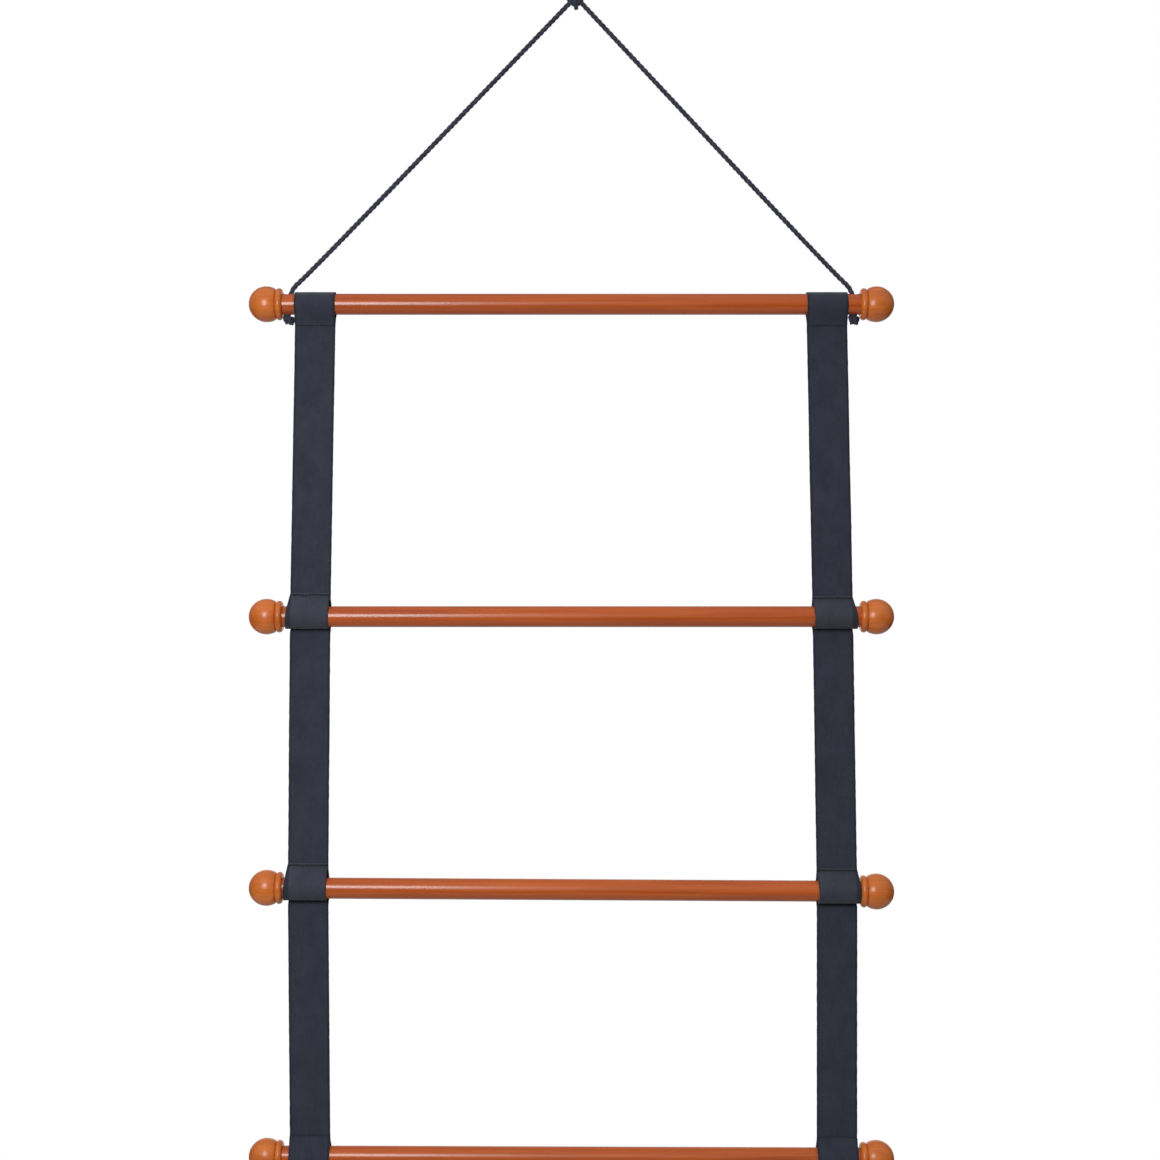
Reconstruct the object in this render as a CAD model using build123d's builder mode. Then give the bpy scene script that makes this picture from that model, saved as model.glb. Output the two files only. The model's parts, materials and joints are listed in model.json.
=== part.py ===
from build123d import *
import os
from math import asin, atan2, cos, pi, sin, sqrt, tan

# A hanging ladder: four turned wooden rungs carried by two flat fabric straps, hung from one
# knotted cord. Millimetres, +Z up. The origin is the inside top of the cord's hanging loop,
# where a hook carries the ladder. +X runs along the rungs to the right, +Y points to the wall.

os.makedirs("parts", exist_ok=True)

# ---- driving dimensions ----

# rungs: a round rod with a turned finial at each end
rod_length = 550.0
rod_radius = 10.0
collar_radius = 15.2
collar_width = 6.0
collar_rounding = 2.8        # how far below its crest the collar's rounding starts
groove_radius = 13.2
groove_width = 0.9           # along the rod, from the collar to the ball
groove_step = 1.6            # how far the ball's edge stands above the groove
ball_radius = 17.0
tenon_radius = 6.0
tenon_length = 18.0          # glued into the finial past the rod's end
tenon_clearance = 0.05
socket_spare = 0.5           # empty depth left past the end of a tenon

# where the rungs hang: each rung's axis below the one above, at the ladder's middle, and how
# much lower a rung's right end hangs than its left end
bay_heights = (297.5, 260.0, 255.0)
rung_drops = (0.0, 0.0, 3.3, 1.9)
ladder_x = -4.0              # the ladder's middle hangs a little to the left of its hook

# straps: how far each strap's outer edge stands from the end of each rung's rod
strap_width = 37.5
strap_thickness = 1.5
left_insets = (12.5, 7.3, 5.3, 7.3)
right_insets = (13.3, 7.3, 3.3, 3.3)
loop_clearance = 0.3         # between a rod and the fabric round it
fold_clearance = 0.3         # between a loop and the strap that folds below it
flap_length = 8.7            # the top loop's sewn end, below the loop
seam_length = 7.2            # a patch's or last loop's sewn end, above the loop

# cord, its hanging loop and its knots
cord_radius = 2.3
loop_height = 42.0           # from the loop's inside top to where the cord enters the knot
loop_opening = 12.4          # inside width of the hanging loop
neck_height = 15.0           # above the cord's entry, where the loop's two strands start to part
neck_spread = 1.5            # how much further from the middle each strand stands there
cord_span = 290.4            # from that entry down to the top rung's axis
strand_gap = 0.2             # between the two strands side by side in the knot
hole_inset = 6.0             # from the rod's end to the cord's hole
cord_clearance = 0.15        # between the cord and its holes and knots
strap_gap = 0.4              # between the cord and the corner of the strap that it passes
tight_bend = 5.0             # radius of the cord's turns in the holes' mouths and in the knot
flare_margin = 1.0           # how much wider than the cord a hole's flared mouth is
flare_spare = 1.6            # how much deeper than the cord's turn it is
stopper_radius = 5.8
stopper_height = 8.5
stopper_gap = 0.2            # between a stopper knot and the rod that rests on it
tail_length = 3.0            # cord end that shows under a stopper knot
apex_knot_radius = 8.5
apex_knot_height = 14.0

# ---- values worked out from them ----

rung_numbers = (1, 2, 3, 4)
top_rung_z = -(loop_height + cord_span)
rung_heights = [top_rung_z - sum(bay_heights[:n]) for n in range(4)]
loop_inner = rod_radius + loop_clearance
loop_outer = loop_inner + strap_thickness
fold_radius = loop_outer + fold_clearance
left_strap_x = [inset + strap_width / 2 - rod_length / 2 for inset in left_insets]
right_strap_x = [rod_length / 2 - inset - strap_width / 2 for inset in right_insets]

# the cord leaves each hole upright and leans towards the knot, over the corner of a strap
hole_x = rod_length / 2 - hole_inset
cord_lean = atan2(hole_x, cord_span - rod_radius)
strap_reach = min(left_insets[0], right_insets[0]) - hole_inset
corner_spare = strap_reach * cos(cord_lean) - cord_radius - strap_gap
mouth_rise = loop_outer - corner_spare / sin(cord_lean)
flare_radius = (
    (rod_radius - mouth_rise) * tan(cord_lean) + cord_radius / cos(cord_lean) + flare_margin
)
flare_depth = rod_radius - mouth_rise + tight_bend * tan(cord_lean / 2) + flare_spare


def rung_slope(n):
    """Angle by which rung n drops to the right, in radians."""
    return asin(rung_drops[n - 1] / rod_length)


def rung_axis(n):
    """Direction of rung n's axis, towards its right end."""
    slope = rung_slope(n)
    return Vector(cos(slope), 0, -sin(slope))


def rung_point(n, x):
    """The point x to the right of rung n's middle, on its axis."""
    return Vector(ladder_x, 0, rung_heights[n - 1]) + rung_axis(n) * x


def across_rung(n, x):
    """Plane square to rung n at x: its local x is +Y and its local y is up."""
    return Plane(origin=rung_point(n, x), x_dir=(0, 1, 0), z_dir=rung_axis(n))


def along_rung(n, side):
    """Plane that holds rung n's axis: its local x runs out to one side and its local y is up."""
    return Plane(origin=rung_point(n, 0), x_dir=rung_axis(n) * side, z_dir=(0, -side, 0))


def save(block, name):
    """Label a finished piece and write it as its own STEP file."""
    block.part.label = name
    export_step(block.part, f"parts/{name}.step")


# ---- rungs ----


def build_rod(n):
    """The straight rod of one rung, with a round tenon turned on each end."""
    with BuildPart() as rod:
        with BuildSketch(across_rung(n, 0)):
            Circle(rod_radius)
        extrude(amount=rod_length / 2, both=True)
        with BuildSketch(across_rung(n, 0)):
            Circle(tenon_radius)
        extrude(amount=rod_length / 2 + tenon_length, both=True)
        if n == 1:
            cut_cord_holes()
    save(rod, f"rung_{n}_rod")


def cut_cord_holes():
    """Bore the top rod's two upright cord holes, each with a flared mouth on top."""
    for side in (-1, 1):
        at = rung_point(1, side * hole_x)
        with BuildSketch(Plane.XY.offset(top_rung_z)) as hole:
            with Locations((at.X, at.Y)):
                Circle(cord_radius + cord_clearance)
        extrude(hole.sketch, amount=2 * rod_radius, both=True, mode=Mode.SUBTRACT)
        with Locations((at.X, at.Y, top_rung_z + rod_radius)):
            Cone(
                bottom_radius=cord_radius + cord_clearance,
                top_radius=flare_radius,
                height=flare_depth,
                align=(Align.CENTER, Align.CENTER, Align.MAX),
                mode=Mode.SUBTRACT,
            )


def build_finial(n, side):
    """A turned end with a blind socket: a rounded collar, a groove, and a ball."""
    start = rod_length / 2
    groove_x = start + collar_width
    ball_start_x = groove_x + groove_width
    ball_start_y = groove_radius + groove_step
    ball_centre = ball_start_x + sqrt(ball_radius**2 - ball_start_y**2)
    with BuildPart() as finial:
        with BuildSketch(along_rung(n, side)):
            with BuildLine():
                Line((start, 0), (start, collar_radius - collar_rounding))
                ThreePointArc(
                    (start, collar_radius - collar_rounding),
                    (start + collar_width / 2, collar_radius),
                    (groove_x, groove_radius),
                )
                Line((groove_x, groove_radius), (ball_start_x, ball_start_y))
                ThreePointArc(
                    (ball_start_x, ball_start_y),
                    (ball_centre, ball_radius),
                    (ball_centre + ball_radius, 0),
                )
                Line((ball_centre + ball_radius, 0), (start, 0))
            make_face()
        revolve(axis=Axis(rung_point(n, 0), rung_axis(n)))
        with BuildSketch(across_rung(n, side * start)):
            Circle(tenon_radius + tenon_clearance)
        extrude(amount=side * (tenon_length + socket_spare), mode=Mode.SUBTRACT)
    save(finial, f"rung_{n}_{'left' if side < 0 else 'right'}_finial")


# ---- straps and patches ----


def add_loop(n, x, half=None):
    """Fabric round rung n: the whole way, or only its back or front half."""
    with BuildSketch(across_rung(n, x)) as ring:
        Circle(loop_outer)
        Circle(loop_inner, mode=Mode.SUBTRACT)
        if half:
            side = -1 if half == "back" else 1
            with Locations((side * loop_outer / 2, 0)):
                Rectangle(loop_outer, 2 * loop_outer, mode=Mode.SUBTRACT)
    extrude(ring.sketch, amount=strap_width / 2, both=True)


def clear_rung(n, x, radius):
    """Cut away what lies within a radius of rung n's axis."""
    with BuildSketch(across_rung(n, x)) as core:
        Circle(radius)
    extrude(core.sketch, amount=strap_width, both=True, mode=Mode.SUBTRACT)


def add_flap(n, x, reach):
    """A second layer of fabric on the strap's front, from rung n's loop up or down by reach."""
    at = rung_point(n, x)
    low, high = sorted((at.Z, at.Z + reach))
    with BuildSketch(Plane.XZ.offset(strap_thickness / 2)) as flap:
        with Locations((at.X, (low + high) / 2)):
            Rectangle(strap_width, high - low)
    extrude(flap.sketch, amount=strap_thickness)


def build_strap(side_name, xs, bay):
    """One strap's run down a bay: from the rung above to round the rung below.

    The top bay starts with its own end sewn round the top rung, and the bottom bay ends with
    its own end sewn round the last rung. Between bays the strap passes behind the rung.
    """
    above, below = bay, bay + 1
    top, bottom = rung_point(above, xs[bay - 1]), rung_point(below, xs[bay])
    half = strap_width / 2
    with BuildPart() as strap:
        with BuildSketch(Plane.XZ):
            with BuildLine():
                Polyline(
                    (top.X - half, top.Z),
                    (top.X + half, top.Z),
                    (bottom.X + half, bottom.Z),
                    (bottom.X - half, bottom.Z),
                    close=True,
                )
            make_face()
        extrude(amount=strap_thickness / 2, both=True)
        if bay == 1:
            add_flap(above, xs[0], -(loop_outer + flap_length))
        if bay == 3:
            add_flap(below, xs[3], loop_outer + seam_length)
        clear_rung(above, xs[bay - 1], loop_outer if bay == 1 else fold_radius)
        clear_rung(below, xs[bay], loop_outer)
        if bay == 1:
            add_loop(above, xs[0])
        add_loop(below, xs[bay], None if bay == 3 else "back")
    place = ("upper", "middle", "lower")[bay - 1]
    save(strap, f"{side_name}_strap_{place}")


def build_patch(side_name, xs, n):
    """The patch that holds rung n against a strap: sewn above the rod, then round its front."""
    with BuildPart() as patch:
        add_flap(n, xs[n - 1], loop_outer + seam_length)
        clear_rung(n, xs[n - 1], loop_outer)
        add_loop(n, xs[n - 1], "front")
    save(patch, f"{side_name}_patch_{n}")


# ---- cord and knots ----

left_hole = rung_point(1, -hole_x)
right_hole = rung_point(1, hole_x)
knot_z = -loop_height
stopper_top = top_rung_z - rod_radius - stopper_gap
tail_z = stopper_top - stopper_height - tail_length
mouth_z = top_rung_z + mouth_rise
strand_x = cord_radius + strand_gap / 2
neck_x = strand_x + neck_spread
neck_z = knot_z + neck_height
shoulder_x = loop_opening / 2 + cord_radius

cord_points = [
    Vector(left_hole.X, 0, tail_z),
    Vector(left_hole.X, 0, mouth_z),
    Vector(-strand_x, 0, knot_z),
    Vector(-neck_x, 0, neck_z),
    Vector(-shoulder_x, 0, cord_radius),
    Vector(shoulder_x, 0, cord_radius),
    Vector(neck_x, 0, neck_z),
    Vector(strand_x, 0, knot_z),
    Vector(right_hole.X, 0, mouth_z),
    Vector(right_hole.X, 0, tail_z),
]


def turn_at(index):
    """How far the cord's route turns at one of its points, in radians."""
    before = cord_points[index] - cord_points[index - 1]
    after = cord_points[index + 1] - cord_points[index]
    return before.get_angle(after) * pi / 180


# above the knot the loop's turns take the largest arcs that their runs allow
neck_run = (cord_points[3] - cord_points[2]).length
neck_bend = 0.45 * neck_run / tan(turn_at(3) / 2)
shoulder_bend = 0.45 * 2 * shoulder_x / tan(turn_at(4) / 2)
half_bends = [tight_bend, tight_bend, neck_bend, shoulder_bend]
cord_bends = half_bends + half_bends[::-1]


def add_cord_tube(radius):
    """Sweep a round section along the cord's whole route; returns the route's length."""
    with BuildLine() as route:
        FilletPolyline(*cord_points, radius=cord_bends)
    with BuildSketch(Plane(origin=cord_points[0], z_dir=(0, 0, 1))) as section:
        Circle(radius)
    sweep(section.sketch, path=route.wires()[0])
    return route.wires()[0].length


def build_cord():
    """The one cord: stopper to stopper, through the top rod, the knot and the hanging loop."""
    with BuildPart() as cord:
        length = add_cord_tube(cord_radius)
    save(cord, "hanger_cord")
    section = pi * cord_radius**2
    print("cord bends", [round(r, 2) for r in cord_bends])
    print("cord length", round(length, 1), "volume share", cord.part.volume / (section * length))


def build_knot(name, x, top_z, radius, height):
    """A knot as one solid barrel with rounded ends, open where the cord runs through it."""
    with BuildPart() as channel:
        add_cord_tube(cord_radius + cord_clearance)
    with BuildPart() as knot:
        with BuildSketch(Plane.XZ):
            with Locations((x + radius / 2, top_z - height / 2)):
                Rectangle(radius, height)
            fillet(vertices().group_by(Axis.X)[-1], radius=0.45 * height)
        revolve(axis=Axis((x, 0, 0), (0, 0, 1)))
        add(channel.part, mode=Mode.SUBTRACT)
    save(knot, name)


# ---- build every piece ----

for number in rung_numbers:
    build_rod(number)
    build_finial(number, -1)
    build_finial(number, 1)

for strap_name, strap_xs in (("left", left_strap_x), ("right", right_strap_x)):
    for bay_number in (1, 2, 3):
        build_strap(strap_name, strap_xs, bay_number)
    for patched_rung in (2, 3):
        build_patch(strap_name, strap_xs, patched_rung)

build_cord()
build_knot(
    "apex_knot", 0, knot_z + apex_knot_height / 2, apex_knot_radius, apex_knot_height
)
build_knot("left_stopper_knot", left_hole.X, stopper_top, stopper_radius, stopper_height)
build_knot("right_stopper_knot", right_hole.X, stopper_top, stopper_radius, stopper_height)
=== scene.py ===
import json
from collections import namedtuple
from math import atan2, cos, degrees, pi, radians, sin, sqrt
import bpy
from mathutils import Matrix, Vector, noise


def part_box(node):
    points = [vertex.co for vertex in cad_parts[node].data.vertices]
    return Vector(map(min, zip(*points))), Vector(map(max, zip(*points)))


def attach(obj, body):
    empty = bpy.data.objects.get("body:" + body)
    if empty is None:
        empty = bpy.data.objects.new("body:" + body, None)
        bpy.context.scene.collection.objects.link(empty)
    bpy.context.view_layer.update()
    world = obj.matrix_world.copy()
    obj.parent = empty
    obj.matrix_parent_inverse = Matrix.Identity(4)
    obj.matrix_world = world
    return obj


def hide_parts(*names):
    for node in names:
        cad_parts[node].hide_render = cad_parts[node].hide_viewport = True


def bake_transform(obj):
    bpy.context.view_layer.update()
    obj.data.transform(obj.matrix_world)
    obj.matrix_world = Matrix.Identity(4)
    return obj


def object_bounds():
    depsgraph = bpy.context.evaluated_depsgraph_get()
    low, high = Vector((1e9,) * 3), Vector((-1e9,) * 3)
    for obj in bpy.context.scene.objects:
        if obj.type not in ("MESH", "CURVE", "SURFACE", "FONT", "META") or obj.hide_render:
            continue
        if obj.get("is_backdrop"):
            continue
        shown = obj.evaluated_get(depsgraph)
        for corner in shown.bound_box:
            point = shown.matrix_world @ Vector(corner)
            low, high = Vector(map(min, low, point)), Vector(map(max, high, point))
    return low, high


# A hanging ladder of varnished wooden rungs on two woven straps, hung from a knotted cord.
# Metres, +Z up, +X to the right, +Y back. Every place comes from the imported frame.

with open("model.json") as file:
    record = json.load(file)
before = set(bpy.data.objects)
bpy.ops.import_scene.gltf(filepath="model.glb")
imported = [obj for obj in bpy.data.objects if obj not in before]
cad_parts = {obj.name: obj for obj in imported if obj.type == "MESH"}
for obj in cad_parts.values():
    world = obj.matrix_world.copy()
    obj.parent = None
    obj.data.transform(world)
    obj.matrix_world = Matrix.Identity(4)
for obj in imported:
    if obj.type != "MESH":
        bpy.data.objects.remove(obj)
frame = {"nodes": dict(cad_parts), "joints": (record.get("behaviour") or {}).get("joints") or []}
cad_low, cad_high = (Vector(corner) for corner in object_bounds())
joints = {joint["name"]: joint for joint in frame["joints"]}
SIDES = {"left": -1, "right": 1}

# ---- places read from the frame ----


def rung_axis(n):
    """A point on rung n's axis, at its middle, and the axis's direction to the right."""
    joint = joints["bay_1_fold" if n == 1 else f"rung_{n}_spin"]
    return Vector(joint["pos_m"]), Vector(joint["axis"]).normalized()


def rung_point(n, x):
    """The point on rung n's axis at x in the frame."""
    middle, along = rung_axis(n)
    return middle + along * ((x - middle.x) / along.x)


def strap_centres(side):
    """Where one strap's middle crosses each rung, and the strap's width."""
    low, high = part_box(f"{side}_patch_2")
    width = high.x - low.x
    inner = 1 if side == "left" else 0
    reach = -SIDES[side] * width / 2
    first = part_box(f"{side}_strap_upper")[inner].x - reach
    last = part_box(f"{side}_strap_lower")[inner].x - reach
    patches = [sum((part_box(f"{side}_patch_{n}")[k].x for k in (0, 1))) / 2 for n in (2, 3)]
    return [first, *patches, last], width


ROD_RADIUS = (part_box("rung_1_rod")[1].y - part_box("rung_1_rod")[0].y) / 2
CORD_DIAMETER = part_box("hanger_cord")[1].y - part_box("hanger_cord")[0].y
TOP_MIDDLE = rung_axis(1)[0]

# ---- camera ----

VIEW_DISTANCE = 1.8
VIEW_WIDTH = 1.105           # what the frame takes in at the ladder
VIEW_ASIDE = 0.0081          # the view's middle, to the right of rung 1's middle
VIEW_TOP = 0.0005            # the frame's top edge, above the place where the cord enters its knot
KNOT_DEPTH = 0.042           # that place, below the inside top of the hanging loop

camera_data = bpy.data.cameras.new("view")
camera = bpy.data.objects.new("view", camera_data)
bpy.context.scene.collection.objects.link(camera)
camera_data.sensor_width = 36
camera_data.lens = camera_data.sensor_width * VIEW_DISTANCE / VIEW_WIDTH
camera_centre_z = -KNOT_DEPTH - VIEW_TOP - VIEW_WIDTH / 2
camera.location = (TOP_MIDDLE.x + VIEW_ASIDE, -VIEW_DISTANCE, camera_centre_z)
camera.rotation_euler = (radians(90), 0, 0)
bpy.context.scene.camera = camera

# ---- material helpers ----


class Nodes:
    """A short way to build one material's node tree."""

    def __init__(self, name):
        self.material = bpy.data.materials.new(name)
        self.material.use_nodes = True
        self.tree = self.material.node_tree
        self.shader = self.tree.nodes["Principled BSDF"]

    def add(self, kind, values=None, **settings):
        """A new node with its settings, and its inputs set or linked by name or number."""
        node = self.tree.nodes.new(kind)
        for key, value in settings.items():
            setattr(node, key, value)
        for key, value in (values or {}).items():
            self.put(node.inputs[key], value)
        return node

    def put(self, socket, value):
        """Link an output to a socket, or set the socket's own value."""
        if isinstance(value, bpy.types.NodeSocket):
            self.tree.links.new(value, socket)
        else:
            socket.default_value = value

    def math(self, operation, *values):
        return self.add("ShaderNodeMath", dict(enumerate(values)), operation=operation).outputs[0]

    def blend(self, share, first, second):
        """Mix two colours by a share."""
        node = self.add("ShaderNodeMix", data_type="RGBA")
        for socket, value in zip((node.inputs[0], node.inputs[6], node.inputs[7]), (share, first, second)):
            self.put(socket, value)
        return node.outputs[2]

    def ramp(self, value, low, high, to_low=0.0, to_high=1.0):
        """Map a range to another range, clamped."""
        values = {0: value, 1: low, 2: high, 3: to_low, 4: to_high}
        return self.add("ShaderNodeMapRange", values).outputs[0]

    def noise(self, where, scale, detail=3.0, rough=0.5):
        values = {"Vector": where, "Scale": scale, "Detail": detail, "Roughness": rough}
        return self.add("ShaderNodeTexNoise", values).outputs["Fac"]

    def stretched(self, where, factors):
        """A vector scaled along each axis."""
        values = {0: where, 1: factors}
        return self.add("ShaderNodeVectorMath", values, operation="MULTIPLY").outputs[0]

    def bump(self, height, distance, strength=1.0, after=None):
        values = {"Height": height, "Distance": distance, "Strength": strength}
        if after is not None:
            values["Normal"] = after
        return self.add("ShaderNodeBump", values).outputs["Normal"]

    def shade(self, **values):
        """Set or link the shader's sockets; an underscore stands for a space."""
        for key, value in values.items():
            self.put(self.shader.inputs[key.replace("_", " ")], value)


def rgb(red, green, blue):
    return (red, green, blue, 1.0)


# ---- wood ----


def varnished_wood(name, dark, light, seed, gloss):
    """Stained beech under semi-gloss varnish, with its grain along the rung."""
    n = Nodes(name)
    place = n.add("ShaderNodeTexCoord").outputs["Object"]
    shifted = n.add("ShaderNodeVectorMath", {0: place, 1: (seed, seed, seed)}, operation="ADD").outputs[0]
    streaks = n.noise(n.stretched(shifted, (9.0, 330.0, 330.0)), 1.0, 5.0, 0.62)
    bands = n.noise(n.stretched(shifted, (3.0, 60.0, 60.0)), 1.0, 2.0)
    pores = n.noise(n.stretched(shifted, (160.0, 2200.0, 2200.0)), 1.0, 2.0)
    cloud = n.noise(shifted, 14.0, 2.0)
    tone = n.math("ADD", n.math("MULTIPLY", streaks, 0.55), n.math("MULTIPLY", bands, 0.45))
    colour = n.blend(n.ramp(tone, 0.36, 0.64), rgb(*dark), rgb(*light))
    colour = n.blend(n.ramp(cloud, 0.35, 0.75, 0.0, 0.35), colour, rgb(*[0.82 * c for c in light]))
    flecks = n.ramp(pores, 0.66, 0.78, 0.0, 0.45)
    colour = n.blend(flecks, colour, rgb(*[0.5 * c for c in dark]))
    n.shade(
        Base_Color=colour,
        Roughness=n.ramp(streaks, 0.3, 0.7, 0.30, 0.38),
        Normal=n.bump(tone, 0.00002, 0.3),
        Specular_IOR_Level=0.25,
        Coat_Weight=0.5,
        Coat_Roughness=gloss,
        Coat_IOR=1.5,
    )
    return n.material


ROD_DARK, ROD_LIGHT = (0.315, 0.051, 0.0065), (0.500, 0.100, 0.014)
FINIAL_DARK, FINIAL_LIGHT = (0.450, 0.098, 0.013), (0.670, 0.176, 0.028)


def paint_wood():
    """Give each rod and finial its own piece of wood."""
    for n in (1, 2, 3, 4):
        rod = varnished_wood(f"rod_wood_{n}", ROD_DARK, ROD_LIGHT, 3.1 * n, 0.21)
        finial = varnished_wood(f"finial_wood_{n}", FINIAL_DARK, FINIAL_LIGHT, 7.7 * n, 0.30)
        for part, material in (("rod", rod), ("left_finial", finial), ("right_finial", finial)):
            node = frame["nodes"][f"rung_{n}_{part}"]
            for k in range(len(node.material_slots)):
                node.material_slots[k].material = material


# ---- woven cloth and cord materials ----

THREAD = 0.0009              # one thread of the weave


def woven(name, base, pale, edge, half_width):
    """Plain-woven cotton webbing; its cloth attribute holds metres across and along it, and how much
    painted shade its creases get.
    """
    n = Nodes(name)
    cloth = n.add("ShaderNodeAttribute", attribute_name="cloth").outputs["Vector"]
    parts = n.add("ShaderNodeSeparateXYZ", {0: cloth}).outputs
    warp = n.math("SINE", n.math("MULTIPLY", parts[0], 2 * pi / THREAD))
    weft = n.math("SINE", n.math("MULTIPLY", parts[1], 2 * pi / (1.4 * THREAD)))
    check = n.math("MULTIPLY", warp, weft)
    ribs = n.math("ABSOLUTE", n.math("SINE", n.math("MULTIPLY", parts[0], pi / (2 * THREAD))))
    slub = n.noise(n.stretched(cloth, (900.0, 60.0, 1.0)), 1.0, 3.0)
    patchy = n.noise(n.stretched(cloth, (55.0, 38.0, 1.0)), 1.0, 4.0, 0.6)
    wear = n.noise(n.stretched(cloth, (240.0, 200.0, 1.0)), 1.0, 2.0)
    colour = n.blend(n.ramp(patchy, 0.32, 0.68), rgb(*base), rgb(*pale))
    colour = n.blend(n.ramp(slub, 0.45, 0.75, 0.0, 0.35), colour, rgb(*[1.25 * c for c in pale]))
    colour = n.blend(n.ramp(check, -1.0, 0.6, 0.34, 0.0), colour, rgb(*[0.40 * c for c in base]))
    # darker along both edges of the webbing
    from_edge = n.math("SUBTRACT", half_width, n.math("ABSOLUTE", parts[0]))
    edge_darkening = n.ramp(from_edge, 0.0022, 0.0004)
    colour = n.blend(n.math("MULTIPLY", edge_darkening, 0.75), colour, rgb(*edge))
    # painted shade: the cloth attribute's third value darkens the seams' creases and the strap just below
    # rungs 2 and 3
    colour = n.blend(n.ramp(parts[2], 0.0, 0.8, 0.0, 0.9), colour, rgb(*[0.4 * c for c in edge]))
    height = n.math("ADD", n.math("MULTIPLY", check, 0.5), n.math("MULTIPLY", ribs, 0.4))
    fine = n.bump(height, 0.00022, 0.8)
    n.shade(
        Base_Color=colour,
        Roughness=n.ramp(wear, 0.3, 0.7, 0.82, 0.95),
        Normal=n.bump(patchy, 0.0009, 0.35, fine),
        Specular_IOR_Level=0.25,
        Sheen_Weight=0.18,
        Sheen_Roughness=0.45,
    )
    return n.material


def spun(name, dark, pale):
    """Twisted cotton yarn; its yarn attribute holds turns around, metres along and the strand."""
    n = Nodes(name)
    yarn = n.add("ShaderNodeAttribute", attribute_name="yarn").outputs["Vector"]
    parts = n.add("ShaderNodeSeparateXYZ", {0: yarn}).outputs
    turns = n.math("MULTIPLY", parts[0], 9.0)
    lengthwise = n.math("MULTIPLY", parts[1], 620.0)
    fibre = n.math("SINE", n.math("MULTIPLY", n.math("ADD", turns, lengthwise), 2 * pi))
    mottled = n.noise(n.stretched(yarn, (1.0, 190.0, 5.0)), 1.0, 3.0)
    colour = n.blend(n.ramp(mottled, 0.35, 0.65), rgb(*dark), rgb(*pale))
    colour = n.blend(n.math("MULTIPLY", parts[2], 0.6), colour, rgb(*[1.45 * c for c in pale]))
    colour = n.blend(n.ramp(fibre, -1.0, 0.2, 0.35, 0.0), colour, rgb(*[0.4 * c for c in dark]))
    n.shade(
        Base_Color=colour,
        Roughness=0.72,
        Normal=n.bump(fibre, 0.00010, 0.6),
        Specular_IOR_Level=0.35,
        Sheen_Weight=0.15,
    )
    return n.material


# ---- mesh helpers ----


def new_mesh(name, points, faces, material, attribute=None, values=None):
    """A smooth mesh object with one material and, if asked, one vector attribute."""
    mesh = bpy.data.meshes.new(name)
    mesh.from_pydata([tuple(p) for p in points], [], faces)
    mesh.materials.append(material)
    mesh.polygons.foreach_set("use_smooth", [True] * len(mesh.polygons))
    if attribute:
        layer = mesh.attributes.new(attribute, "FLOAT_VECTOR", "POINT")
        layer.data.foreach_set("vector", [c for value in values for c in value])
    mesh.update()
    piece = bpy.data.objects.new(name, mesh)
    bpy.context.scene.collection.objects.link(piece)
    return piece


def resampled(points, step):
    """Points evenly spaced along a polyline, with its length kept."""
    lengths = [0.0]
    for a, b in zip(points, points[1:]):
        lengths.append(lengths[-1] + (b - a).length)
    count = max(2, round(lengths[-1] / step))
    result, at = [], 0
    for k in range(count + 1):
        want = lengths[-1] * k / count
        while at < len(points) - 2 and lengths[at + 1] < want:
            at += 1
        span = lengths[at + 1] - lengths[at] or 1.0
        result.append(points[at].lerp(points[at + 1], (want - lengths[at]) / span))
    return result


def softened(points, rounds):
    """A polyline with its corners eased and its ends kept."""
    for _ in range(rounds):
        middle = [(a + 2 * b + c) / 4 for a, b, c in zip(points, points[1:], points[2:])]
        points = [points[0], *middle, points[-1]]
    return points


# ---- laid cord ----

STRANDS = 3
LAY = 3.5 * CORD_DIAMETER    # one full turn of a strand
STRAND_SIZE = 0.27           # a strand's radius, in cord diameters
STRAND_OUT = 0.265           # and how far its middle lies from the cord's


def spline_points(controls):
    """Points along the smooth NURBS line that a list of control points makes."""
    curve = bpy.data.curves.new("line", "CURVE")
    curve.dimensions = "3D"
    curve.resolution_u = 24
    spline = curve.splines.new("NURBS")
    spline.points.add(len(controls) - 1)
    for target, place in zip(spline.points, controls):
        target.co = (*place, 1.0)
    spline.order_u = 3
    spline.use_endpoint_u = True
    holder = bpy.data.objects.new("line", curve)
    bpy.context.scene.collection.objects.link(holder)
    mesh = bpy.data.meshes.new_from_object(holder)
    points = [v.co.copy() for v in mesh.vertices]
    bpy.data.objects.remove(holder)
    bpy.data.curves.remove(curve)
    bpy.data.meshes.remove(mesh)
    return points


def carried_frames(points):
    """Two directions square to the line at each point, turned as little as possible."""
    tangents = []
    for k in range(len(points)):
        tangents.append((points[min(k + 1, len(points) - 1)] - points[max(k - 1, 0)]).normalized())
    side = tangents[0].orthogonal().normalized()
    frames = []
    for k, tangent in enumerate(tangents):
        if k:
            side = tangents[k - 1].rotation_difference(tangent) @ side
        side = (side - tangent * side.dot(tangent)).normalized()
        frames.append((side, tangent.cross(side)))
    return frames


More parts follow.
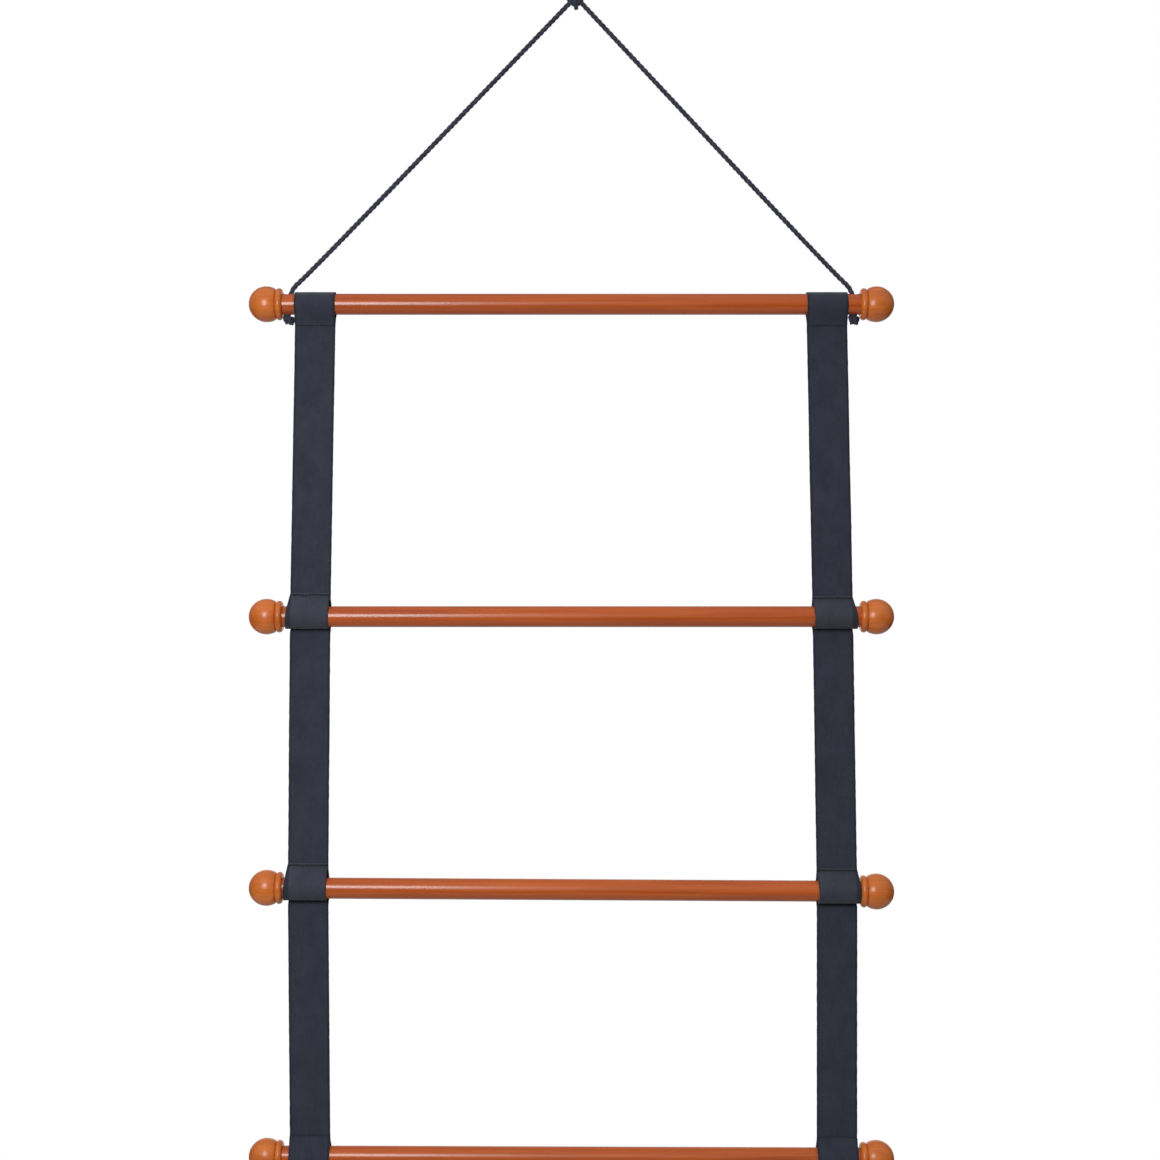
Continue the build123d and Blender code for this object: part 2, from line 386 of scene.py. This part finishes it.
def laid_rope(name, paths, material, diameter=CORD_DIAMETER, around=10, step=0.0010):
    """Three-strand laid cord along one or more paths, as one mesh with closed ends."""
    strand_radius = STRAND_SIZE * diameter
    helix_radius = STRAND_OUT * diameter
    points, faces, yarn = [], [], []
    for path in paths:
        line = resampled(path, step)
        frames = carried_frames(line)
        for strand in range(STRANDS):
            start = len(points)
            centres = []
            for k, (place, (side, up)) in enumerate(zip(line, frames)):
                turn = 2 * pi * (strand / STRANDS + k * step / LAY)
                centres.append(place + helix_radius * (side * cos(turn) + up * sin(turn)))
            for k, (centre, (side, up)) in enumerate(zip(centres, carried_frames(centres))):
                taper = 0.72 if k in (0, len(centres) - 1) else 1.0
                for j in range(around):
                    turn = 2 * pi * j / around
                    points.append(centre + taper * strand_radius * (side * cos(turn) + up * sin(turn)))
                    yarn.append((j / around, k * step, float(strand == 0)))
            rings = len(centres)
            for k in range(rings - 1):
                for j in range(around):
                    a, b = start + k * around + j, start + k * around + (j + 1) % around
                    faces.append((a, b, b + around, a + around))
            faces.append(tuple(start + j for j in reversed(range(around))))
            faces.append(tuple(start + (rings - 1) * around + j for j in range(around)))
    return new_mesh(name, points, faces, material, "yarn", yarn)


cord_low, cord_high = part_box("hanger_cord")
CORD_RADIUS = CORD_DIAMETER / 2
HOLE_X = (cord_low.x + CORD_RADIUS, cord_high.x - CORD_RADIUS)
LOOP_HALF_WIDTH = 0.0085
STRAND_X = CORD_RADIUS + 0.0001   # the loop's two strands lie side by side in the knot
NECK_RISE, NECK_SPREAD = 0.015, 0.0015   # where the loop's two strands start to part
MOUTH_Z = TOP_MIDDLE.z + 0.0100
MOUTH_LEAN = 0.0029          # the cord leaves a hole a little on its outer side
FOOT_Z = TOP_MIDDLE.z + 0.0089    # where the line of a taut leg meets its hole
TAIL_RISE = 0.0035           # the cord's ends, above the bottom of its CAD node


def along_leg(x, far_x, distance, from_knot=False):
    """A point of a taut leg, at a distance from its hole or from its knot."""
    foot, knot = Vector((x, 0, FOOT_Z)), Vector((far_x, 0, -KNOT_DEPTH))
    if from_knot:
        return knot + (foot - knot).normalized() * distance
    return foot + (knot - foot).normalized() * distance


def hanger_route():
    """The one cord's control points, from the left tail over the hanging loop to the right."""
    near_mouth = 6 * CORD_DIAMETER
    half = []
    for side, hole in ((-1, HOLE_X[0]), (1, HOLE_X[1])):
        knot = Vector((side * STRAND_X, 0, -KNOT_DEPTH))
        neck = knot + Vector((side * NECK_SPREAD, 0, NECK_RISE))
        half.append([
            Vector((hole, 0, cord_low.z + TAIL_RISE)),
            Vector((hole + side * MOUTH_LEAN, 0, MOUTH_Z)),
            along_leg(hole, knot.x, near_mouth),
            along_leg(hole, knot.x, (neck - knot).length, True),
            knot,
            neck,
            Vector((side * LOOP_HALF_WIDTH, 0, CORD_RADIUS)),
        ])
    return [*half[0], *reversed(half[1])]


# an overhand knot, in cord diameters from its middle: across, back and up
OVERHAND = (
    (0.0, 0.0, 1.95), (0.07, 0.26, 0.98), (-0.83, -0.40, 0.0), (-0.11, 0.35, -0.90),
    (0.95, 0.17, -0.43), (0.87, -0.22, 0.57), (0.0, -0.55, 0.92), (-0.87, 0.10, 0.80),
    (-1.0, 0.54, 0.11), (-0.33, 0.22, -0.17), (0.22, -0.52, -0.60), (0.3, 0.2, -0.75),
)


def overhand(centre, size, offset):
    """Control points of one strand of a doubled overhand knot."""
    flat = [Vector(place) * size for place in OVERHAND]
    shifted = []
    for k, place in enumerate(flat):
        ahead = flat[min(k + 1, len(flat) - 1)] - flat[max(k - 1, 0)]
        beside = Vector((ahead.z, 0, -ahead.x)).normalized()
        shifted.append(centre + place + beside * offset)
    return shifted


STOPPER_SPREAD = 0.0040      # half the distance between a stopper's first and last turn
STOPPER_RADIUS = 0.0027
STOPPER_TURNS, STOPPER_STEPS = 2, 16
STOPPER_NECK = (Vector((0, 0, 0.0068)), Vector((-0.0014, 0.0005, 0.0048)))
STOPPER_TUCK = Vector((0.0006, 0.0012, 0.0008))


def stopper(centre, drop):
    """Control points of a stopper: two turns side by side, the right one lower by drop."""
    points = list(STOPPER_NECK)
    for k in range(STOPPER_STEPS + 1):
        share = k / STOPPER_STEPS
        turn, across = 2 * pi * STOPPER_TURNS * share, 2 * share - 1
        points.append(Vector((
            STOPPER_SPREAD * across,
            -STOPPER_RADIUS * sin(turn),
            STOPPER_RADIUS * cos(turn) - drop * across,
        )))
    points.append(STOPPER_TUCK)
    return [centre + place for place in points]


KNOTTED = 0.94               # how much thinner the cord is pulled in its knots
STOPPER_SINK = 0.0008        # the turns' middle, below the middle of the CAD knot
STOPPER_DROPS = {"left": 0.0009, "right": 0.0004}
APEX_SHIFT = Vector((-0.0008, 0, 0.0012))
APEX_SIZE, APEX_OFFSET = 1.12, 0.45      # in cord diameters
STUB_PLACE, STUB_HEIGHTS = (0.0011, -0.0015), (0.0, -0.005, -0.0112)


def build_cord(material):
    """The taut cord with its hanging loop, and its three knots."""
    path = spline_points(hanger_route())
    rope = laid_rope("hanger_rope", [path], material)
    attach(rope, "hanger")
    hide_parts("hanger_cord")
    knots = [rope]
    for side, hole in (("left", HOLE_X[0]), ("right", HOLE_X[1])):
        low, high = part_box(f"{side}_stopper_knot")
        centre = Vector((hole, 0, (low.z + high.z) / 2 - STOPPER_SINK))
        turns = spline_points(stopper(centre, STOPPER_DROPS[side]))
        knot = laid_rope(f"{side}_stopper_turns", [turns], material, KNOTTED * CORD_DIAMETER)
        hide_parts(f"{side}_stopper_knot")
        knots.append(knot)
    low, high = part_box("apex_knot")
    centre = (low + high) / 2 + APEX_SHIFT
    paths = []
    for offset in (-APEX_OFFSET, APEX_OFFSET):
        turns = overhand(centre, APEX_SIZE * CORD_DIAMETER, offset * CORD_DIAMETER)
        paths.append(spline_points(turns))
    stub = [centre + Vector((*STUB_PLACE, z)) for z in STUB_HEIGHTS]
    paths.append(spline_points(stub))
    knot = laid_rope("apex_turns", paths, material, KNOTTED * CORD_DIAMETER)
    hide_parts("apex_knot")
    knots.append(knot)
    for knot in knots[1:]:
        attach(knot, "hanger")


# ---- straps ----

CLOTH = 0.0013               # thickness of the webbing
WRAP = ROD_RADIUS + 0.0005 + CLOTH / 2   # radius of the cloth's middle round a rod
MEET = 0.0180                # how far from a rod's axis a strap leaves or meets the plane it hangs in
TANGENT = degrees(atan2(sqrt(MEET**2 - WRAP**2), WRAP))
FRONT = -(CLOTH + 0.0002)    # the front layer's middle, where it lies on the strap
STEP, PATCH_STEP = 0.0016, 0.0006        # from one row to the next
EASING, PATCH_EASING = 3, 2  # rounds of softening
COLUMNS = 18


def arc(start, end):
    """Points round a rod, as (back, up), between two angles from straight back."""
    count = max(2, int(abs(end - start) / 6))
    turns = [radians(start + (end - start) * k / count) for k in range(count + 1)]
    return [(WRAP * cos(t), WRAP * sin(t)) for t in turns]


# each path is (back, up) from the rung's axis; 90 degrees is straight up and 180 is the front
MEET_ANGLE = 90 - TANGENT
BACK = 0.0001                # the strap's own plane
PAST, LOWER_MEET = 4, 0.0016 - MEET      # a strap follows a rod a little longer below it
FLAP_END, HEM_END = 0.0200, 0.0195       # the sewn ends, below rung 1 and above rung 4
PASSING = [(BACK, MEET), *arc(MEET_ANGLE, -MEET_ANGLE - PAST), (BACK, LOWER_MEET)]
TOP_END = [
    (FRONT, -FLAP_END), (FRONT, -MEET), *arc(180 + MEET_ANGLE, -MEET_ANGLE), (BACK, -MEET),
]
BOTTOM_END = [
    (BACK, MEET), *arc(MEET_ANGLE, -180 - MEET_ANGLE), (FRONT, MEET), (FRONT, HEM_END),
]
PATCH_SHORT = 29             # degrees by which a patch stops short of the strap behind the rod
HEM, PUFF = 0.0020, 0.0013   # a patch's cloth above its seam, and how far it swells beside it
SEAM = HEM + 0.0004          # the seam, along the patch's line
NARROWER = 0.0008            # a patch than its strap
SLIDE_OUT, SLIDE_IN = 0.0045, 0.0010     # how far a patch's two edges drift outwards
FLAP_SEAM, HEM_SEAM = 0.0026, 0.0024     # the end seams, from the strap's two ends
SEEDS = {"left": 11.0, "right": 37.0}
SEAM_SHADE_HALF = 0.0014              # half the width of the painted shade along a seam's crease
FOLD_SHADE_HALF, FOLD_SHADE_DROP, FOLD_SHADE = 0.0026, 0.0132, 0.55   # painted shade on a strap just below a rod, where the rod shades it: half its width, its drop below the axis, its strength
# a patch's line beside its seam: its share of the swelling, and its height from the seam
SEAM_SHAPE = ((0, HEM), (1, 0.55 * HEM), (0, 0.0), (1, -0.0012), (0.9, -0.0028))
SEAM_HEIGHTS = {
    ("left", 2): 0.0202, ("right", 2): 0.0171, ("left", 3): 0.0216, ("right", 3): 0.0197,
}


def strap_line(side):
    """One strap's whole middle line as points, from its top sewn end to its bottom one."""
    centres, width = strap_centres(side)
    line = []
    for n, shape in ((1, TOP_END), (2, PASSING), (3, PASSING), (4, BOTTOM_END)):
        at = rung_point(n, centres[n - 1])
        line += [Vector((0, at.y + back, at.z + up)) for back, up in shape]
    return softened(resampled(line, STEP), EASING), centres, width


def across_at(centres, z):
    """The strap's middle x at a height, and the direction across it there."""
    heights = [rung_point(n, centres[n - 1]).z for n in (1, 2, 3, 4)]
    k = 0
    while k < 2 and z < heights[k + 1]:
        k += 1
    share = min(1.0, max(0.0, (heights[k] - z) / (heights[k] - heights[k + 1])))
    x = centres[k] + (centres[k + 1] - centres[k]) * share
    across = rung_axis(k + 1)[1].lerp(rung_axis(k + 2)[1], share).normalized()
    return x, across, min(abs(z - height) for height in heights)


Row = namedtuple("Row", "middle across face low high gone clear")


class Band:
    """A band of webbing: rows of places along it, each with its two edges and its face's direction."""

    def __init__(self, line, centres, width, edges, seed, shade_bands=()):
        self.rows = []
        self.shade_bands = list(shade_bands)
        gone = 0.0
        for k, place in enumerate(line):
            ahead = line[min(k + 1, len(line) - 1)] - line[max(k - 1, 0)]
            x, across, clear = across_at(centres, place.z)
            face = across.cross(ahead).normalized()
            if k:
                gone += (place - line[k - 1]).length
            low, high = edges(k / (len(line) - 1))
            middle = Vector((x, place.y, place.z))
            self.rows.append(Row(middle, across, face, low - width / 2, high + width / 2, gone, clear))
        self.seed = seed
        self.length = gone

    def wave(self, u, gone, clear):
        """How far the cloth stands off its flat place: small waves away from the rungs."""
        free = min(1.0, max(0.0, (clear - 0.022) / 0.05))
        broad = noise.noise(Vector((u * 22, gone * 17, self.seed)))
        small = noise.noise(Vector((u * 70, gone * 95, self.seed + 5)))
        return free * (0.0011 * broad + 0.00030 * small) + 0.00010 * small

    def at(self, k, share, lift=0.0):
        """The place on row k at a share of the width, lifted off the cloth's middle."""
        middle, across, face, low, high, gone, clear = self.rows[k]
        fray = 0.00022 * noise.noise(Vector((gone * 160, share * 3, self.seed + 9)))
        u = low + (high - low) * share + fray * (2 * share - 1)
        return middle + across * u + face * (lift + self.wave(u, gone, clear)), u

    def crease_shade(self, gone, share):
        """How much painted shade darkens the cloth there, along a seam's crease or on a strap below a rod,
        from 0 to 1.
        """
        dark = 0.0
        for middle, half, depth in self.shade_bands:
            shift = 0.0004 * noise.noise(Vector((share * 4, self.seed, middle * 30)))
            dark = max(dark, depth * (1 - ((gone - middle - shift) / half) ** 2))
        return dark

    def row_near(self, gone):
        """The number of the row nearest a length along the band."""
        return min(range(len(self.rows)), key=lambda k: abs(self.rows[k].gone - gone))

    def cut(self, name, first, last, material):
        """The part of the band from one row to another, as a closed mesh with round edges."""
        half = CLOTH / 2
        ring = [(j / COLUMNS, half, 0.0) for j in range(COLUMNS + 1)]
        ring += [(1.0, half * sin(radians(t)), half * cos(radians(t))) for t in (35, -35)]
        ring += [(j / COLUMNS, -half, 0.0) for j in reversed(range(COLUMNS + 1))]
        ring += [(0.0, half * sin(radians(t)), -half * cos(radians(t))) for t in (-35, 35)]
        points, faces, cloth = [], [], []
        for k in range(first, last + 1):
            across, gone = self.rows[k].across, self.rows[k].gone
            for share, lift, out in ring:
                place, u = self.at(k, share, lift)
                points.append(place + across * out)
                # the third value is the painted shade of the creases
                cloth.append((u, gone, self.crease_shade(gone, share)))
        size = len(ring)
        for k in range(last - first):
            for j in range(size):
                a, b = k * size + j, k * size + (j + 1) % size
                faces.append((a, b, b + size, a + size))
        faces.append(tuple(reversed(range(size))))
        faces.append(tuple((last - first) * size + j for j in range(size)))
        piece = new_mesh(name, points, faces, material, "cloth", cloth)
        mesh = piece.data
        for face in mesh.polygons[-2:]:
            face.use_smooth = False
            ends = set(face.vertices)
            for edge in mesh.edges:
                if edge.vertices[0] in ends and edge.vertices[1] in ends:
                    edge.use_edge_sharp = True
        return piece

    def stitches(self, name, gone, outward, material, margin=0.0016):
        """A row of sewn stitches across the band, at a length along it."""
        k = self.row_near(gone)
        row = self.rows[k]
        width = row.high - row.low
        count = int((width - 2 * margin) / PITCH)
        points, faces, yarn = [], [], []
        for j in range(count):
            share = (margin + PITCH * (j + 0.5)) / width
            share += 0.004 * noise.noise(Vector((j * 1.7, self.seed, gone * 40)))
            centre, _ = self.at(k, share, outward * (CLOTH / 2 + 0.00006))
            down = row.across.cross(row.face)
            tilt = 0.05 * noise.noise(Vector((j * 2.3, self.seed + 2, 0.0)))
            along = (row.across + down * tilt).normalized()
            add_stitch(points, faces, yarn, centre, along, row.face * outward)
        return new_mesh(name, points, faces, material, "yarn", yarn)


PITCH = 0.0034               # from one stitch to the next
STITCH = 0.0027              # one stitch's length
THREAD_RADIUS = 0.00034


def add_stitch(points, faces, yarn, centre, along, out):
    """One stitch: a short thread that dives into the cloth at both ends."""
    beside = out.cross(along)
    start, rings, around = len(points), 9, 6
    for k in range(rings):
        turn = pi * k / (rings - 1)
        reach = -cos(turn) * STITCH / 2
        dip = -0.00030 * (2 * k / (rings - 1) - 1) ** 2
        radius = THREAD_RADIUS * max(0.15, sin(turn) ** 0.5)
        for j in range(around):
            angle = 2 * pi * j / around
            offset = beside * cos(angle) + out * sin(angle)
            points.append(centre + along * reach + out * dip + offset * radius)
            yarn.append((j / around, reach, 1.0))
    for k in range(rings - 1):
        for j in range(around):
            a, b = start + k * around + j, start + k * around + (j + 1) % around
            faces.append((a, b, b + around, a + around))
    faces.append(tuple(start + j for j in reversed(range(around))))
    faces.append(tuple(start + (rings - 1) * around + j for j in range(around)))


def across_rung(piece):
    """Bake a strap piece's transform into its mesh."""
    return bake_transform(piece)


def build_straps(side, canvas, patch_canvas, thread):
    """One strap as four pieces of one band, its two patches and all its stitching."""
    line, centres, width = strap_line(side)
    band = Band(line, centres, width, lambda share: (0.0, 0.0), SEEDS[side])
    heights = [rung_point(n, centres[n - 1]).z for n in (1, 2, 3, 4)]
    # painted shade on the strap just below rungs 2 and 3, where the rod and its patch shade it
    for height in heights[1:3]:
        fold = min(band.rows, key=lambda row: abs(row.middle.z - height + FOLD_SHADE_DROP))
        band.shade_bands.append((fold.gone, FOLD_SHADE_HALF, FOLD_SHADE))
    cuts = [0]
    for upper, lower in zip(heights, heights[1:]):
        middle = (upper + lower) / 2
        cuts.append(min(range(len(line)), key=lambda k: abs(line[k].z - middle)))
    cuts.append(len(line) - 1)
    flap = band.stitches(f"{side}_flap_stitches", FLAP_SEAM, 1, thread)
    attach(flap, "bay_1")
    hem = band.stitches(f"{side}_end_stitches", band.length - HEM_SEAM, 1, thread)
    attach(hem, "bay_3")
    runs = (
        ("top", "upper", [flap]),
        ("rung_2", "middle", []),
        ("rung_3", "lower", []),
        ("end", "lower", [hem]),
    )
    for n, (label, stands_for, sewn) in enumerate(runs, 1):
        first, last = cuts[n - 1], cuts[n]
        piece = band.cut(f"{side}_webbing_{label}", first, last, canvas)
        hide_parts(f"{side}_strap_{stands_for}")
        if n in (2, 3):
            across_rung(piece)
        else:
            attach(piece, "bay_1" if n == 1 else "bay_3")

    def skewed(share):
        slide = 1 - (1 - share) ** 2
        outer, inner = SLIDE_OUT * slide, SLIDE_IN * slide
        return (-outer, -inner) if side == "left" else (inner, outer)

    for n in (2, 3):
        at = rung_point(n, centres[n - 1])
        shape = [(FRONT - PUFF * swell, SEAM_HEIGHTS[side, n] + up) for swell, up in SEAM_SHAPE]
        shape += arc(180 - MEET_ANGLE, 360 - MEET_ANGLE - PATCH_SHORT)
        patch_line = [Vector((0, at.y + back, at.z + up)) for back, up in shape]
        patch_line = softened(resampled(patch_line, PATCH_STEP), PATCH_EASING)
        # painted shade along the crease of the patch's seam
        crease_shade = (SEAM, SEAM_SHADE_HALF, 1.0)
        patch = Band(patch_line, centres, width - NARROWER, skewed, SEEDS[side] + 3 * n, [crease_shade])
        piece = patch.cut(f"{side}_patch_cloth_{n}", 0, len(patch_line) - 1, patch_canvas)
        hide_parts(f"{side}_patch_{n}")
        across_rung(piece)
        seam = patch.stitches(f"{side}_patch_stitches_{n}", SEAM, -1, thread)
        across_rung(seam)


# ---- light and stage ----


def soft_light(name, place, aim, size, power):
    """A rectangular softbox aimed at a point."""
    data = bpy.data.lights.new(name, "AREA")
    data.shape = "RECTANGLE"
    data.size, data.size_y = size
    data.energy = power
    light = bpy.data.objects.new(name, data)
    light.location = place
    light.rotation_euler = (Vector(aim) - Vector(place)).to_track_quat("-Z", "Y").to_euler()
    bpy.context.scene.collection.objects.link(light)


FILL_BELOW, FILL_ABOVE, FILL_BEHIND = 0.0, 0.96, 0.5     # the world's light by its direction


def build_world():
    """Soft light all round, stronger from above, that the camera sees as plain white."""
    world = bpy.data.worlds.new("studio")
    bpy.context.scene.world = world
    world.use_nodes = True
    tree = world.node_tree

    def add(kind, **settings):
        node = tree.nodes.new(kind)
        for key, value in settings.items():
            setattr(node, key, value)
        return node

    def ramp(value, low, high, to_low, to_high):
        node = add("ShaderNodeMapRange")
        for k, number in enumerate((low, high, to_low, to_high), 1):
            if isinstance(number, bpy.types.NodeSocket):
                tree.links.new(number, node.inputs[k])
            else:
                node.inputs[k].default_value = number
        tree.links.new(value, node.inputs[0])
        return node.outputs[0]

    def larger(first, second):
        node = add("ShaderNodeMath", operation="MAXIMUM")
        tree.links.new(first, node.inputs[0])
        tree.links.new(second, node.inputs[1])
        return node.outputs[0]

    toward = add("ShaderNodeTexCoord").outputs["Generated"]
    parts = add("ShaderNodeSeparateXYZ")
    tree.links.new(toward, parts.inputs[0])
    path = add("ShaderNodeLightPath").outputs
    facing = ramp(parts.outputs["Y"], -0.2, 0.9, 1.0, FILL_BEHIND)
    above = ramp(parts.outputs["Z"], -0.3, 0.9, FILL_BELOW, FILL_ABOVE)
    fill = ramp(facing, 0.0, 1.0, 0.0, above)
    sheen = ramp(facing, 0.0, 2.0, 0.0, above)
    backdrop = ramp(parts.outputs["Y"], 0.75, 0.95, 0.0, 1.0)
    glossy = ramp(path["Is Glossy Ray"], 0.0, 1.0, fill, larger(sheen, backdrop))
    seen = larger(path["Is Camera Ray"], path["Is Transmission Ray"])
    strength = ramp(seen, 0.0, 1.0, glossy, 1.0)
    background = tree.nodes["Background"]
    background.inputs["Color"].default_value = (1, 1, 1, 1)
    tree.links.new(strength, background.inputs["Strength"])


def build_floor(z, half=2.2):
    """A plain pale floor well below the ladder, which fades to the white backdrop."""
    corners = [(-half, -half, z), (half, -half, z), (half, half, z), (-half, half, z)]
    n = Nodes("floor_paint")
    place = n.add("ShaderNodeTexCoord").outputs["Object"]
    mottle = n.noise(place, 3.0)
    paint = n.blend(n.ramp(mottle, 0.3, 0.7), rgb(0.60, 0.60, 0.60), rgb(0.64, 0.64, 0.64))
    from_middle = n.add("ShaderNodeVectorMath", {0: n.stretched(place, (1, 1, 0))}, operation="LENGTH")
    fade = n.ramp(from_middle.outputs["Value"], 0.45 * half, 0.95 * half)
    path = n.add("ShaderNodeLightPath").outputs
    seen = n.math("MAXIMUM", path["Is Camera Ray"], path["Is Transmission Ray"])
    glow = n.math("MULTIPLY", seen, n.ramp(fade, 0.0, 1.0, 0.58, 1.0))
    n.shade(
        Base_Color=n.blend(n.math("MULTIPLY", seen, fade), paint, rgb(0.0, 0.0, 0.0)),
        Roughness=0.9,
        Specular_IOR_Level=0.0,
        Emission_Color=rgb(1.0, 1.0, 1.0),
        Emission_Strength=glow,
    )
    floor = new_mesh("floor", corners, [(0, 1, 2, 3)], n.material)
    floor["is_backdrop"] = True


# ---- making ----

cord_yarn = spun("cord_yarn", (0.015, 0.018, 0.035), (0.034, 0.037, 0.066))
stitch_thread = spun("stitch_thread", (0.014, 0.016, 0.026), (0.026, 0.029, 0.044))
build_cord(cord_yarn)
paint_wood()
HALF_WIDTH = strap_centres("left")[1] / 2
strap_canvas = woven(
    "strap_canvas", (0.024, 0.027, 0.045), (0.035, 0.039, 0.060), (0.012, 0.014, 0.024), HALF_WIDTH
)
# a lighter copy of the strap webbing: painted light on the patches' fronts over the rods
patch_canvas = woven(
    "patch_canvas", (0.032, 0.036, 0.053), (0.046, 0.050, 0.071), (0.015, 0.017, 0.028), HALF_WIDTH
)
for side_name in SIDES:
    build_straps(side_name, strap_canvas, patch_canvas, stitch_thread)

build_world()
build_floor(cad_low.z - 1.0)
aim = (0, 0, camera_centre_z)
soft_light("key", (-0.42, -1.25, camera_centre_z + 0.28), aim, (0.42, 0.60), 12.6)

scene = bpy.context.scene
scene.view_settings.view_transform = "Standard"
